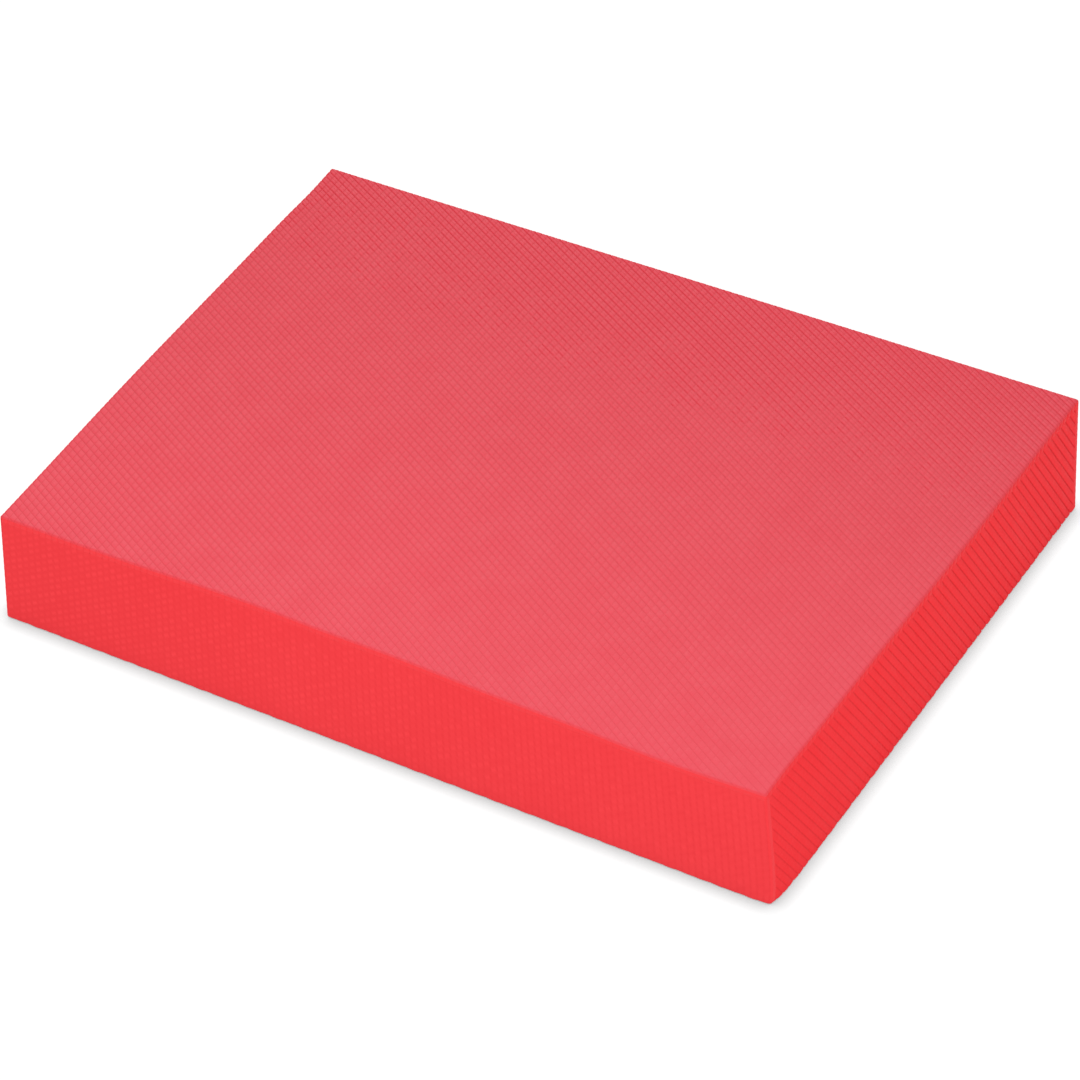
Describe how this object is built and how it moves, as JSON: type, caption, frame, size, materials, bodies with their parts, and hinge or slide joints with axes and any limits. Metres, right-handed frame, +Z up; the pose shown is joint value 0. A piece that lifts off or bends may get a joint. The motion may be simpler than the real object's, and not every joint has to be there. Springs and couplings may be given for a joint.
{
  "type": "balance pad",
  "caption": "Thick rectangular foam balance pad with a fine diamond-embossed top, ribbed side strips and a laminated foam core, for standing balance exercises.",
  "frame": {"origin": "centre of the underside, where the pad rests on the floor", "axes": "+X along the long side, towards the right; +Y along the short side, from front to back; +Z up through the thickness"},
  "size_m": [0.4, 0.3, 0.062],
  "materials": {
    "embossed_skin": "matte embossed closed-cell foam with a soft sheen",
    "side_strip": "matte ribbed closed-cell foam",
    "core_foam": "plain cut closed-cell foam"
  },
  "bodies": {
    "root": {"top_skin": "embossed_skin", "bottom_skin": "embossed_skin", "front_strip": "side_strip", "back_strip": "side_strip", "left_strip": "side_strip", "right_strip": "side_strip", "core_slab_1": "core_foam", "core_slab_2": "core_foam", "core_slab_3": "core_foam", "core_slab_4": "core_foam"}
  },
  "joints": []
}
